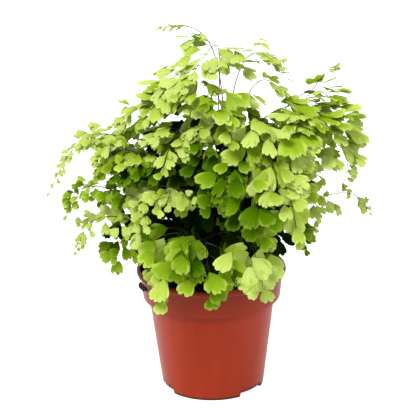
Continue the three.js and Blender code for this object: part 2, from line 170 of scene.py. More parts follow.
def scatter_noise(x, y, pitch, seed):
    """Smooth noise: values of noise at a square lattice's points, blended by 3f^2 - 2f^3."""
    col, row = np.floor(x / pitch), np.floor(y / pitch)
    fx, fy = x / pitch - col, y / pitch - row
    fx, fy = fx * fx * (3 - 2 * fx), fy * fy * (3 - 2 * fy)

    def at(right, above):
        return noise((col + right) * 7.31 + (row + above) * 31.17 + seed)

    low = at(0, 0) * (1 - fx) + at(1, 0) * fx
    high = at(0, 1) * (1 - fx) + at(1, 1) * fx
    return low * (1 - fy) + high * fy


class Body:
    """Points in millimetres, faces and point values, gathered for one mesh."""

    def __init__(self):
        self.points, self.faces, self.slots, self.values = [], [], [], []
        self.count = 0

    def add(self, points, faces, slot=0, **values):
        """Adds points with faces that count from their first, all with one material slot."""
        points = points.reshape(-1, 3)
        for corners in faces:
            corners = corners.reshape(-1, corners.shape[-1])
            self.faces.append(corners + self.count)
            self.slots.append(np.full(len(corners), slot))
        self.points.append(points)
        self.values.append({k: np.asarray(v, float).reshape(len(points), -1) for k, v in values.items()})
        self.count += len(points)

    def mesh(self, name, sharp=math.radians(50)):
        """A smooth-shaded mesh in metres whose edges past the sharp angle stay crisp."""
        points = np.concatenate(self.points) * MM
        corners = np.concatenate([f.ravel() for f in self.faces])
        sizes = np.concatenate([np.full(len(f), f.shape[1]) for f in self.faces])
        data = bpy.data.meshes.new(name)
        data.vertices.add(len(points))
        data.vertices.foreach_set("co", points.ravel().astype(np.float32))
        data.loops.add(len(corners))
        data.loops.foreach_set("vertex_index", corners.astype(np.int32))
        data.polygons.add(len(sizes))
        data.polygons.foreach_set("loop_start", (np.cumsum(sizes) - sizes).astype(np.int32))
        data.polygons.foreach_set("material_index", np.concatenate(self.slots).astype(np.int32))
        data.update(calc_edges=True)
        data.shade_smooth()
        data.set_sharp_from_angle(angle=sharp)
        for key in sorted({k for v in self.values for k in v}):
            self.store(data, key)
        return data

    def store(self, data, key):
        """Writes one point value to the mesh, with 0 where a part has none."""
        width = max(v[key].shape[1] for v in self.values if key in v)
        rows = [v.get(key, np.zeros((len(p), width))) for v, p in zip(self.values, self.points)]
        kind, field = ("FLOAT", "value") if width == 1 else ("FLOAT_VECTOR", "vector")
        layer = data.attributes.new(key, kind, "POINT")
        layer.data.foreach_set(field, np.concatenate(rows).ravel().astype(np.float32))


def tubes(corners, foot, end, rings, sides):
    """Closed tapering tubes on Bezier curves.

    Ring k of each tube is a regular polygon square to the curve's heading there, whose radius
    runs evenly from foot to end. Returns points, faces, and how far along each point lies.
    """
    t = np.linspace(0, 1, rings)
    centre, way = along(corners[:, None], t), heading(corners[:, None], t)
    chord = corners[:, -1] - corners[:, 0]
    level = unit(np.cross(UP, chord) + 1e-4)[:, None]
    first = unit(np.cross(level, way))
    second = np.cross(way, first)
    turn = 2 * np.pi * np.arange(sides) / sides
    radius = (foot + (end - foot) * t)[None, :, None, None]
    ring = first[:, :, None] * np.cos(turn)[:, None] + second[:, :, None] * np.sin(turn)[:, None]
    points = centre[:, :, None] + radius * ring
    index = np.arange(len(corners) * rings * sides).reshape(len(corners), rings, sides)
    low, high = index[:, :-1], index[:, 1:]
    walls = np.stack([low, np.roll(low, -1, 2), np.roll(high, -1, 2), high], -1)
    caps = np.concatenate([index[:, 0, ::-1], index[:, -1]])
    return points, [walls, caps], np.broadcast_to(t[None, :, None], index.shape)


def turned(radius, height, low_pole, high_pole, skip=None):
    """A closed shape turned about the Z axis.

    radius and height are grids of profile point by angle. The profile starts at the low pole
    and ends at the high pole, with the solid on its left. skip marks cells to leave open.
    """
    rows, columns = radius.shape
    turn = 2 * np.pi * np.arange(columns) / columns
    ring = np.stack([radius * np.cos(turn), radius * np.sin(turn), height], -1)
    points = np.concatenate([ring.reshape(-1, 3), [[0, 0, low_pole], [0, 0, high_pole]]])
    index = np.arange(rows * columns).reshape(rows, columns)
    after = np.roll(index, -1, 1)
    cells = np.stack([index[:-1], after[:-1], after[1:], index[1:]], -1)
    keep = np.ones(cells.shape[:2], bool) if skip is None else ~skip
    ends = [
        np.stack([np.full(columns, rows * columns), after[0], index[0]], -1),
        np.stack([np.full(columns, rows * columns + 1), index[-1], after[-1]], -1),
    ]
    return points, index, [cells[keep], np.concatenate(ends)]


# Fronds


def rachis_of(frond):
    """Corners of the cubic curve of a stem.

    It starts in the soil, heads for the height of the arch, passes through the arch point at
    ARCH_AT and ends at the tip.
    """
    start = np.array([*frond.foot, SOIL_HEIGHT - STIPE_DEPTH], float)
    arch, tip = np.array(frond.arch, float), np.array(frond.tip, float)
    lift = start + (arch - start) * np.array([0.12, 0.12, frond.rise])
    t = ARCH_AT
    bend = arch - (1 - t) ** 3 * start - 3 * (1 - t) ** 2 * t * lift - t**3 * tip
    return np.array([start, lift, bend / (3 * (1 - t) * t * t), tip])


def trail_of(frond):
    """The level way that a frond grows past its arch."""
    return unit(np.subtract(frond.tip, frond.arch) * [1, 1, 0])


Branches = namedtuple("Branches", "corners size seed older")


def sprung(root, way, length, rise, sag):
    """Corners of quadratic curves that spring from root, lift a little and sag at the end."""
    length = length[:, None]
    middle = root + way * length * 0.5 + UP * length * rise
    return np.stack([root, middle, root + way * length - UP * length * sag[:, None]], 1)


def side_stalks(index, frond, rachis, count):
    """The side stalks of a stem.

    Stalk n leaves the rachis on alternate sides, reaches (1 - n / count)^0.6 of the longest,
    and sags at its end by 0.1 to 0.4 of its length.
    """
    n = np.arange(count)
    seed = index * 100 + n * 7
    u = n / max(count, 1)
    t = frond.leafy + (LEAFY_END - frond.leafy) * u
    root, way = along(rachis, t), heading(rachis, t)
    aside = np.where((n + index) % 2, 1, -1)[:, None] * np.cross(trail_of(frond), UP)
    length = frond.reach * (1 - u) ** 0.6 * (0.8 + 0.35 * noise(seed)) + 5
    lift = 0.5 * noise(seed + 3)[:, None] - 0.15
    way = unit(aside * (0.75 + 0.25 * noise(seed + 1))[:, None] + 0.55 * way + lift * UP)
    corners = sprung(root, way, length, rise=0.06, sag=0.1 + 0.3 * noise(seed + 2))
    size = frond.size * (1 - (1 - frond.end_scale) * u)
    return Branches(corners, size, seed, 0.4 * (noise(seed + 13) - 0.5))


def forks(stalks, share, least):
    """Stalks that fork off at that share of each stalk longer than the least."""
    long = np.linalg.norm(stalks.corners[:, 2] - stalks.corners[:, 0], axis=-1) > least
    stalks = Branches(*(column[long] for column in stalks))
    corners, seed = stalks.corners, stalks.seed + 200 * share
    root = along(corners, np.full(len(seed), share))
    way = heading(corners, np.full(len(seed), share))
    turn = np.where(noise(seed) > 0.5, 1, -1)[:, None] * np.cross(UP, way)
    way = unit(0.6 * way + turn + (0.7 * noise(seed + 1)[:, None] - 0.35) * UP)
    length = 0.5 * np.linalg.norm(corners[:, 2] - corners[:, 0], axis=-1)
    return Branches(
        sprung(root, way, length, rise=0.05, sag=0.3 * noise(seed + 2)),
        stalks.size * 0.85, seed, stalks.older + 0.16 * (noise(seed + 3) - 0.5),
    )


def inner_stalks(index, frond, rachis, count, reach, size):
    """Stalks of old leaves low on the stem, which fill the inside of the plant and are darkened there
    by painted shade.
    """
    n = np.arange(count)
    seed = index * 100 + 70 + n * 5
    t = 0.1 + (frond.leafy - 0.14) * (n + noise(seed)) / max(count, 1)
    turn = 2 * np.pi * noise(seed + 1)
    way = np.stack([np.cos(turn), np.sin(turn), 0.3 - 0.7 * noise(seed + 2)], -1)
    length = reach * (0.6 + 0.5 * noise(seed + 3))
    corners = sprung(along(rachis, t), unit(way), length, rise=0.05, sag=0.25 * noise(seed + 4))
    return Branches(corners, size * (0.7 + 0.5 * noise(seed + 5)), seed, 0.6 + 0 * t)


def joined_branches(groups):
    """All branches of several groups, as one set."""
    return Branches(*(np.concatenate(column) for column in zip(*groups)))


def leaflets_of(index, frond, rachis, stalks):
    """Where leaflets are joined on: arrays of root, heading, side, size, seed and added age.

    They stand left and right along each side stalk, 0.75 of a leaflet's length apart, and the end
    of the rachis, smaller towards the end, with one more at each end.
    """
    corners = stalks.corners
    length = np.linalg.norm(corners[:, 2] - corners[:, 0], axis=-1)
    each = np.maximum(1, np.round(length / (stalks.size * 0.75))).astype(int)
    owner = np.repeat(np.arange(len(corners)), each)
    j = np.arange(len(owner)) - np.repeat(np.cumsum(each) - each, each)
    v = (j + 0.7) / (each[owner] + 0.2)
    key = stalks.seed[owner] + 3.1 * j
    size = stalks.size[owner] * (1 - 0.3 * v) * (0.75 + 0.4 * noise(key + 4))
    groups = [(
        along(corners[owner], v), heading(corners[owner], v), np.where((j + owner) % 2, 1, -1),
        size, stalks.seed[owner] + 1.7 * j, stalks.older[owner] + 0.3 * (0.45 - v),
    ), (
        corners[:, 2], heading(corners, np.ones(len(corners))), np.zeros(len(corners)),
        stalks.size * 0.7, stalks.seed + 50, stalks.older,
    )]
    j = np.arange(frond.end_leaves)
    begin = LEAFY_END if frond.pinnae else frond.leafy
    t = np.append(begin - 0.06 + (1.04 - begin) * (j + 0.5) / frond.end_leaves, 1.0)
    size = (1 - 0.4 * j / frond.end_leaves) * (0.85 + 0.3 * noise(index * 31 + j))
    groups.append((
        along(rachis, t), heading(rachis, t), np.append(np.where(j % 2, 1, -1), 0),
        frond.size * frond.end_scale * np.append(size, 0.6),
        index * 100 + np.append(60 + 1.3 * j, 90), np.full(len(t), -0.1),
    ))
    return [np.concatenate(column) for column in zip(*groups)]


def blade_frames(frond, root, way, side, size, seed):
    """Which way each leaflet points and faces.

    A blade faces up and leans out, to the nearer of front and back: more the lower, the longer
    and the farther from the middle it is, and less high up at the outside. It points aside from
    its stalk, or on along it at the end, and trails the way that its frond grows. It hangs as far
    as it leans, and is turned at random in its own plane, up to twice as far low down.
    """
    radius, height = np.hypot(root[:, 0], root[:, 1])[:, None], root[:, 2:]
    out = root * [1, 1, 0] / np.maximum(radius, 1)
    lean = 14 + 50 * ramp(radius, -15, 65) * ramp(height, 255, 160) + 1.1 * size[:, None] - 8
    lean = lean - 32 * ramp(radius, 50, 70) * ramp(height, 219, 229)
    lean = np.radians(lean + 34 * (noise(seed + 0.1) - 0.5)[:, None])
    facing = unit(0.5 * out + FRONT * np.clip((28 - root[:, 1:2]) / 25, -1, 1))
    stray = np.stack([noise(seed + 0.1 * k) - 0.5 for k in (2, 3, 4)], -1)
    stray = stray * (0.85 - 0.02 * size[:, None])
    normal = unit(UP * np.cos(lean) + facing * np.sin(lean) + stray)
    aside = unit(np.cross(normal, way)) * side[:, None]
    point = unit(0.6 * aside + np.where(side[:, None] == 0, 1, 0.5) * way)
    point = point - (0.2 + 0.8 * np.sin(lean)) * UP + 0.75 * trail_of(frond) + 0.2 * out
    point = unit(point - np.sum(point * normal, -1, keepdims=True) * normal)
    turn = np.radians((50 + 45 * ramp(height, 240, 180)) * (noise(seed + 0.5) - 0.5)[:, None])
    point = point * np.cos(turn) + np.cross(normal, point) * np.sin(turn)
    return point, normal


def past_box(points):
    """How far points lie past the solids' box, grown by BOX_GROWTH of its size on each side."""
    low, high = (np.array(corner) / MM for corner in CAD_BOX)
    room = BOX_GROWTH * (high - low)
    return points - np.clip(points, low - room, high + room)


# Points on a blade's margin and on the row inside it, and that row's share of length and angle
MARGIN, INNER = 25, 5
INNER_SHARE, INNER_SPREAD = 0.52, 1.16
BLADE_POINTS = 1 + INNER + MARGIN
# How far shoulders, teeth and waves go, as shares of a blade's length
SHOULDER, TOOTH, WAVE = 0.3, 0.07, 0.05
# A leaflet's stalk and farthest reach as shares of its length, and how far the stalk goes in
STALK_SHARE, REACH_SHARE, STALK_OVERLAP = 0.16, 1.05, 0.4


def blade_faces():
    """Faces of one blade: a fan and a row of wide cells on top, the same below, and the rim."""
    i, j = np.arange(INNER - 1), np.arange(MARGIN - 1)
    step = (MARGIN - 1) // (INNER - 1)
    first = 1 + INNER
    fan = np.stack([0 * i, 1 + i, 2 + i], -1)
    cells = np.column_stack([1 + i, *(first + step * i + k for k in range(step + 1)), 2 + i])
    under = BLADE_POINTS
    rim = np.stack([first + j, first + j + under, first + j + 1 + under, first + j + 1], -1)
    last = BLADE_POINTS - 1
    sides = np.array([
        [0, under, 1 + under, 1], [1, 1 + under, first + under, first],
        [0, INNER, INNER + under, under], [INNER, last, last + under, INNER + under],
    ])
    return [
        np.concatenate([fan, fan[:, ::-1] + under]),
        np.concatenate([cells, cells[:, ::-1] + under]),
        np.concatenate([rim, sides]),
    ]


def blades(root, point, normal, size, seed, thickness, crumple=0.0):
    """Leaflets as closed thin fans, and the place of each point on its fan.

    In polar terms about the stalk's end, a blade opens by 2 x half, wider low on the plant. At
    share u of the way across it reaches its length less SHOULDER |2u - 1|^3 for the round
    shoulders, and less a cut of depth |2w - 1|^3 at share w of the way across each of its 2 or 3
    lobes. Each cleft has a depth of its own, and each half of a lobe has a round tooth, which
    reaches less by TOOTH |2v - 1|^2 at its share v. The blade is a little longer on one side. It
    droops to both sides and forward as the square of the distance, and its margin waves.
    """
    u = np.linspace(0, 1, MARGIN)[None]
    chance, width = noise(seed + 5.3)[:, None], noise(seed + 6.1)[:, None]
    broad = ramp(root[:, 2:], 235, 145) * ramp(np.abs(root[:, :1]), 105, 55)
    half = np.radians(22 + 16 * width + 12 * broad)
    lobes = np.clip(np.round(noise(seed + 7.7) + size / 16 + 0.9), 2, 3)[:, None]
    depth = 0.03 + 0.24 * noise(seed[:, None] + 8.9 + 3.3 * np.round(u * lobes)) ** 3
    skew = 1 + 0.24 * (noise(seed + 9.3)[:, None] - 0.5) * (2 * u - 1)
    cleft, tooth = np.abs(2 * ((u * lobes) % 1) - 1), np.abs(2 * ((2 * u * lobes) % 1) - 1)
    whole = size[:, None] * (1.45 - 0.5 * half) * (1 - SHOULDER * np.abs(2 * u - 1) ** 3) * skew
    reach = whole * (1 - depth * cleft**3 - TOOTH * tooth**2)
    angle = half * (2 * u - 1)
    every = (MARGIN - 1) // (INNER - 1)
    arm = np.concatenate([INNER_SHARE * whole[:, ::every], reach], 1)
    angle = np.concatenate([INNER_SPREAD * angle[:, ::every], angle], 1)
    u = np.concatenate([u[:, ::every], u], 1)
    x, y = arm * np.cos(angle), arm * np.sin(angle)
    out = np.concatenate([np.full(INNER, INNER_SHARE), np.ones(MARGIN)])
    scale = size[:, None]
    bend = 0.1 + 0.3 * noise(seed + 10.7)[:, None] + crumple
    cup = 0.4 * (noise(seed + 11.9)[:, None] - 0.4) + crumple
    wave = WAVE * np.sin(2 * np.pi * (u * lobes + chance)) * out**2
    z = scale * (wave - bend * (x / scale) ** 2 * 0.5 - cup * (y / scale) ** 2)
    spots = np.concatenate([np.zeros((len(size), 1, 3)), np.stack([x, y, z], -1)], 1)
    offset = np.zeros((len(size), BLADE_POINTS, 3))
    offset[..., 2] = thickness / 2 * np.concatenate([[1.0], np.repeat([0.8, 0.45], [INNER, MARGIN])])
    spots = np.concatenate([spots + offset, spots - offset], 1)
    axes = np.stack([point, np.cross(normal, point), normal], 1)
    points = root[:, None] + np.einsum("mpk,mkc->mpc", spots, axes)
    place = np.empty((len(size), 2, BLADE_POINTS, 3))
    place[..., 0] = np.insert(u, 0, 0.5, 1)
    place[..., 1] = np.insert(out, 0, 0.0)
    place[..., 2] = chance[:, None]
    start = np.arange(len(size))[:, None, None] * 2 * BLADE_POINTS
    return points, [f[None] + start for f in blade_faces()], place


class Grower:
    """Grows one frond's mesh from its row."""

    def __init__(self, index, frond, sizes):
        self.index, self.frond, self.sizes = index, frond, sizes
        self.body = Body()

    def ages(self, root, seed, older):
        """Leaf ages, which set the colours: the frond's and the leaf's own, more inside the plant as
        painted shade that darkens the leaves there, less far to the left and right, and some at random.
        """
        radius = np.hypot(root[:, 0], root[:, 1])
        # Painted shade: leaves near the middle and low down are made older and so darker
        inside = ramp(radius, 66, 26) * ramp(root[:, 2], 240, 165)
        outside = ramp(np.abs(root[:, 0]), 75, 115)
        chance = noise(seed + 12.3) - 0.5
        return self.frond.age + older + 0.4 * inside - 0.25 * outside + 0.36 * chance

    def stalks(self, rachis):
        """Side stalks, their forks, and the stalks that fill the inside, as one set."""
        frond, look = self.frond, self.sizes
        if not frond.pinnae:
            return None
        more = 1 + (look.fullness - 1) * frond.fill
        main = side_stalks(self.index, frond, rachis, round(frond.pinnae * more))
        reach, size = look.inner_reach / MM, look.inner_leaf / MM
        count = round(look.inner_stalks * frond.fill)
        inner = inner_stalks(self.index, frond, rachis, count, reach, size)
        low = forks(main, share=0.4, least=30 - 14 * frond.fill)
        high = forks(main, share=0.7, least=38 - 14 * frond.fill)
        return joined_branches([main, low, high, inner])

    def grow(self, crumple=0.0):
        """Adds the stem, side stalks, leaf stalks and blades, and returns the body."""
        look, thin = self.sizes, self.sizes.end_radius
        rachis = rachis_of(self.frond)
        stalks = self.stalks(rachis)
        self.tube(rachis[None], look.foot_radius, thin, (0.0, 0.8), rings=26, sides=6)
        if stalks is None:
            stalks = Branches(np.zeros((0, 3, 3)), *np.zeros((3, 0)))
        else:
            self.tube(stalks.corners, thin, 0.6 * thin, (0.6, 1.0), rings=6, sides=4)
        root, way, side, size, seed, older = leaflets_of(self.index, self.frond, rachis, stalks)
        point, normal = blade_frames(self.frond, root, way, side, size, seed)
        joint = root + point * (STALK_SHARE * size)[:, None]
        joint = joint - past_box(joint + point * (REACH_SHARE * size)[:, None])
        petioles = np.stack([root, joint + point * STALK_OVERLAP], 1)
        self.tube(petioles, 0.55 * thin, 0.45 * thin, (0.8, 1.0), rings=2, sides=3)
        thickness = look.blade_thickness / MM
        points, faces, place = blades(joint, point, normal, size, seed, thickness, crumple)
        age = np.repeat(self.ages(root, seed, older), 2 * BLADE_POINTS)
        under = np.tile(np.repeat([0.0, 1.0], BLADE_POINTS), len(size))
        self.body.add(points, faces, 0, place=place, age=age, under=under)
        return self.body

    def tube(self, corners, foot, end, span, rings, sides):
        """Adds stalks whose place, the share of the way from soil to leaf, runs over the span."""
        points, faces, t = tubes(corners, foot / MM, end / MM, rings, sides)
        place = np.zeros((*t.shape, 3))
        place[..., 0] = span[0] + (span[1] - span[0]) * t
        self.body.add(points, faces, 1, place=place)


# Materials


class Value:
    """A number in a material: + - * and ** on it add Math nodes."""

    def __init__(self, shader, socket):
        self.shader, self.socket = shader, socket

    def math(self, operation, *terms):
        return self.shader.node("ShaderNodeMath", {"operation": operation}, dict(enumerate(terms)))

    def __add__(self, other):
        return self.math("ADD", self, other)

    def __sub__(self, other):
        return self.math("SUBTRACT", self, other)

    def __mul__(self, other):
        return self.math("MULTIPLY", self, other)

    def __pow__(self, other):
        return self.math("POWER", self, other)

    def __rsub__(self, other):
        return self.math("SUBTRACT", other, self)

    __radd__, __rmul__ = __add__, __mul__

    def clipped(self):
        """This number held between 0 and 1."""
        return self.shader.node("ShaderNodeClamp", {}, {"Value": self})

    def sine(self):
        return self.math("SINE", self)


class Shader:
    """A material under construction."""

    def __init__(self, name):
        self.material = bpy.data.materials.new(name)
        self.material.use_nodes = True
        self.tree = self.material.node_tree
        self.tree.nodes.clear()

    def node(self, kind, settings, inputs, output=0):
        """Adds a node, makes its settings, then sets or links its sockets."""
        node = self.tree.nodes.new(kind)
        for key, value in settings.items():
            if key == "stops":
                self.set_stops(node.color_ramp, value)
            else:
                setattr(node, key, value)
        for key, value in inputs.items():
            if isinstance(value, Value):
                self.tree.links.new(value.socket, node.inputs[key])
            else:
                node.inputs[key].default_value = value
        return Value(self, node.outputs[output])

    @staticmethod
    def set_stops(ramp, stops):
        while len(ramp.elements) < len(stops):
            ramp.elements.new(0.5)
        for element, (position, colour) in zip(ramp.elements, stops):
            element.position = position
            element.color = (*colour, 1)

    def attribute(self, name, output="Fac"):
        return self.node("ShaderNodeAttribute", {"attribute_name": name}, {}, output)

    def parts(self, vector):
        """The X, Y and Z of a vector."""
        first = self.node("ShaderNodeSeparateXYZ", {}, {"Vector": vector})
        return [Value(self, socket) for socket in first.socket.node.outputs]

    def grain(self, scale, detail=2.0, where=None):
        """Noise from 0 to 1 on the object's own coordinates, scale to the metre."""
        if where is None:
            where = self.node("ShaderNodeTexCoord", {}, {}, "Object")
        return self.node("ShaderNodeTexNoise", {}, {"Vector": where, "Scale": scale, "Detail": detail})

    def blend(self, factor, low, high):
        """A colour from low to high."""
        low, high = (c if isinstance(c, Value) else (*c[:3], 1) for c in (low, high))
        return self.node(
            "ShaderNodeMix", {"data_type": "RGBA", "clamp_factor": True},
            {0: factor, 6: low, 7: high}, 2,
        )

    def bump(self, height, strength, distance):
        return self.node(
            "ShaderNodeBump", {}, {"Height": height, "Strength": strength, "Distance": distance}
        )

    def skin(self, colour, roughness, specular, normal):
        """A surface of that colour that lets no light through."""
        return self.node("ShaderNodeBsdfPrincipled", {}, {
            "Base Color": colour, "Roughness": roughness, "Specular IOR Level": specular,
            "Normal": normal,
        })

    def finish(self, surface):
        out = self.tree.nodes.new("ShaderNodeOutputMaterial")
        self.tree.links.new(surface.socket, out.inputs["Surface"])
        return self.material


def leaf_material(look):
    """Thin green leaf: colour by age with painted shade in its darkest stop, 13 fine veins that fan out,
    a painted highlight along the margin, some light passing through.
    """
    s = Shader("fern leaf")
    across, out, chance = s.parts(s.attribute("place", "Vector"))
    # The age sets the colour, darker towards each blade's base; the ramp's darkest stop is painted shade for
    # the leaves deep inside the plant
    age = s.attribute("age") + 0.16 * (s.grain(45.0) - 0.5) + 0.2 * (0.62 - out)
    colour = s.node("ShaderNodeValToRGB", {"stops": [
        (0.0, look.new_colour), (0.17, look.young_colour), (0.38, look.fresh_colour),
        (0.7, look.full_colour), (0.92, look.old_colour), (1.0, look.shaded_colour),
    ]}, {"Fac": age.clipped()})
    veins = ((across * 80.0).sine() * 0.5 + 0.5) ** 3.0
    # Veins, the margin's painted highlight, the underside and the light passing through fade as the age
    # rises, which keeps the painted shade dark
    fresh = 1 - (age * 0.86).clipped()
    colour = s.blend(veins * out * fresh * 0.6, colour, look.vein_colour)
    # Painted highlight: a pale line along the margin, strongest on young leaflets
    edge = ((out - 0.86) * 8.0).clipped() * (chance * 0.5 + 0.25)
    colour = s.blend(edge * fresh**2.0, colour, look.margin_highlight_colour)
    colour = s.blend(s.attribute("under") * fresh**2.0 * 0.4, colour, look.under_colour)
    normal = s.bump(veins + s.grain(700.0) * 0.8, strength=0.8, distance=0.0004)
    skin = s.skin(colour, look.roughness, specular=0.0, normal=normal)
    glow = s.node("ShaderNodeBsdfTranslucent", {}, {"Color": (*look.glow_colour, 1)})
    return s.finish(s.node("ShaderNodeMixShader", {}, {0: fresh * look.glow, 1: skin, 2: glow}))


def withered_material(look):
    """Dry brown leaf with darker blotches and a dull, wrinkled skin."""
    s = Shader("withered leaf")
    blotches = s.grain(260.0, detail=4.0)
    colour = s.blend(blotches, look.dry_colour, [0.4 * c for c in look.dry_colour])
    normal = s.bump(s.grain(600.0, detail=4.0), strength=0.6, distance=0.0004)
    return s.finish(s.skin(colour, roughness=0.8, specular=0.1, normal=normal))


def stem_material(look):
    """Wiry stem: glossy and nearly black, turning red-brown towards the leaves."""
    s = Shader("fern stem")
    place = s.parts(s.attribute("place", "Vector"))[0]
    colour = s.blend(((place - 0.45) * 1.6).clipped(), look.stem_colour, look.stalk_colour)
    normal = s.bump(s.grain(1500.0), strength=0.2, distance=0.0001)
    return s.finish(s.skin(colour, roughness=0.35, specular=0.2, normal=normal))


def pot_material(look):
    """Moulded plastic: satin, faintly streaked, with painted shade on and under the band and along the foot.
    """
    s = Shader("pot plastic")
    where = s.node("ShaderNodeTexCoord", {}, {}, "Object")
    height = s.parts(where)[2] * (1 / MM)
    drawn = s.node("ShaderNodeMapping", {}, {"Vector": where, "Scale": (1.0, 1.0, 0.06)})
    streaks = s.grain(110.0, detail=3.0, where=drawn)
    colour = s.blend(streaks, look.pot_colour, [0.72 * c for c in look.pot_colour])
    dust = ((s.grain(120.0, detail=5.0) - 0.56) * 4.0).clipped()
    colour = s.blend(dust * 0.1, colour, look.dust_colour)
    # Painted shade: darker under the band's overhang, and on the band where the leaves shade it
    below_band = ((height - 68.0) * 0.12).clipped() * ((BAND_FOOT + 0.1 - height) * 5.0).clipped()
    on_band = ((height - BAND_FOOT) * 5.0).clipped() * ((height - BAND_FOOT) * 0.045 + 0.3).clipped()
    # Painted shade along the foot too, on the rows marked by the edge value
    painted_shade = below_band * 0.55 + on_band * 0.46 + s.attribute("edge") * 0.9
    colour = s.blend(painted_shade.clipped(), colour, look.painted_shade_colour)
    rough = 0.3 + 0.1 * streaks + 0.12 * dust
    normal = s.bump(s.grain(1800.0), strength=0.12, distance=0.0002)
    return s.finish(s.skin(colour, rough, specular=0.1, normal=normal))


def soil_material(look):
    """Damp peat: nearly black, with browner crumbs and fibres, rough all over."""
    s = Shader("peat soil")
    crumbs = s.grain(420.0, detail=5.0)
    colour = s.blend(((crumbs - 0.45) * 3.0).clipped(), look.soil_colour, look.crumb_colour)
    normal = s.bump(crumbs, strength=0.9, distance=0.0012)
    return s.finish(s.skin(colour, roughness=0.95, specular=0.2, normal=normal))


def stage_material(look):
    """Plain pale paper-white floor."""
    s = Shader("stage floor")
    return s.finish(s.node("ShaderNodeBsdfPrincipled", {}, {
        "Base Color": (*look.floor_colour, 1), "Roughness": 0.9, "Specular IOR Level": 0.0,
        "Emission Color": (1, 1, 1, 1), "Emission Strength": look.floor_glow,
    }))


# Settings


def colour(name, words, default):
    return FloatVectorProperty(
        name=name, description=f"Colour of {words}", default=default, subtype="COLOR", min=0, max=1
    )


def length(name, words, default):
    return FloatProperty(name=name, description=words, default=default, unit="LENGTH")


def share(name, words, default):
    return FloatProperty(
        name=name, description=words, default=default, min=0, max=1, subtype="FACTOR"
    )


def power(name, words, default):
    return FloatProperty(name=name, description=words, default=default, unit="POWER")


class FernLeafSettings(bpy.types.PropertyGroup):
    """Sizes and colours of leaves and stems."""

    blade_thickness: length("Leaf thickness", "Thickness of a leaflet at its base", 0.0003)
    foot_radius: length("Stem radius", "Radius of a stem where it leaves the soil", 0.0006)
    end_radius: length("Stalk radius", "Radius of a stem's tip and a side stalk's foot", 0.00021)
    fullness: FloatProperty(
        name="Fullness", description="Side stalks beside those of the plain solid",
        default=1.35, min=0.5, max=3,
    )
    inner_stalks: IntProperty(
        name="Inner stalks", description="Stalks of old leaves low on each stem", default=10, min=0
    )
    inner_reach: length("Inner reach", "Length of the inner stalks", 0.028)
    inner_leaf: length("Inner leaf", "Length of the inner leaflets", 0.017)
    new_colour: colour("New leaf", "the newest leaflets", (0.7, 0.84, 0.22))
    young_colour: colour("Young leaf", "young leaflets", (0.54, 0.68, 0.11))
    fresh_colour: colour("Fresh leaf", "fresh leaflets", (0.28, 0.44, 0.018))
    full_colour: colour("Grown leaf", "fully grown leaflets", (0.08, 0.175, 0.001))
    old_colour: colour("Old leaf", "old leaflets", (0.026, 0.075, 0.001))
    # Painted shade: the near-black of the leaves deep inside the plant
    shaded_colour: colour("Shaded leaf", "the oldest leaflets", (0.005, 0.017, 0.0003))
    vein_colour: colour("Veins", "the veins", (0.4, 0.56, 0.012))
    # Painted highlight along the margin of young leaflets
    margin_highlight_colour: colour("Margin", "the margin of new leaflets", (0.68, 0.75, 0.24))
    under_colour: colour("Underside", "the underside", (0.22, 0.38, 0.005))
    glow_colour: colour("Glow", "light that passes through a leaflet", (0.5, 0.72, 0.04))
    glow: share("Glow share", "Share of light that may pass through", 0.34)
    roughness: share("Roughness", "Roughness of a leaflet", 0.5)
    dry_colour: colour("Withered leaf", "the withered leaf", (0.045, 0.015, 0.007))
    stem_colour: colour("Stem", "a stem low down", (0.012, 0.007, 0.008))
    stalk_colour: colour("Stalk", "stalks near the leaves", (0.06, 0.028, 0.014))


class FernPotSettings(bpy.types.PropertyGroup):
    """Colours of the pot."""

    pot_colour: colour("Plastic", "the pot", (0.31, 0.026, 0.005))
    dust_colour: colour("Dust", "dust and scuffs", (0.30, 0.07, 0.035))
    # Painted shade: the dark colour laid on and under the band and along the foot
    painted_shade_colour: colour("Painted shade", "grime in the pot's corners", (0.05, 0.012, 0.006))


class FernSoilSettings(bpy.types.PropertyGroup):
    """Colours and size of the soil's crumbs."""

    soil_colour: colour("Peat", "the soil", (0.012, 0.009, 0.007))
    crumb_colour: colour("Crumbs", "drier crumbs", (0.045, 0.028, 0.017))
    crumbs: IntProperty(
        name="Crumbs", description="Loose crumbs on the soil", default=420, min=0, max=2000
    )
    lump_height: length("Lumps", "Height of the soil's lumps", 0.0034)


class FernStageSettings(bpy.types.PropertyGroup):
    """Floor and lights."""

    floor_colour: colour("Floor", "the floor", (0.5, 0.5, 0.5))
    floor_glow: FloatProperty(
        name="Floor glow", description="Light that the floor gives itself", default=0.86, min=0
    )
    sky: FloatProperty(name="Sky", description="Strength of the surrounding light", default=0.42, min=0)
    key_power: power("Key light", "Power of the main light", 56.0)
    fill_power: power("Fill light", "Power of the light from the right", 9.0)
    back_power: power("Back light", "Power of the light from behind", 18.0)


# Operators


def linked(context, name, data):
    """A new object at the origin."""
    thing = bpy.data.objects.new(name, data)
    context.scene.collection.objects.link(thing)
    return thing


def place(context, name, mesh, materials, slot, *nodes):
    """Links a finished piece and makes it stand for its solids."""
    for material in materials:
        mesh.materials.append(material)
    piece = linked(context, name, mesh)
    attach(piece, "root")
    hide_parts(*nodes)


class FERN_OT_grow_fronds(bpy.types.Operator):
    """Grow the green fronds, each a stem with its side stalks and leaflets"""

    bl_idname = "fern.grow_fronds"
    bl_label = "Grow Fronds"

    def execute(self, context):
        look = context.scene.fern_leaf
        materials = [leaf_material(look), stem_material(look)]
        for index, frond in enumerate(FRONDS[:-1]):
            body = Grower(index, frond, look).grow()
            name = f"fine_{frond.name}"
            place(context, name, body.mesh(name), materials, "frond", f"frond_{frond.name}")
        return {"FINISHED"}


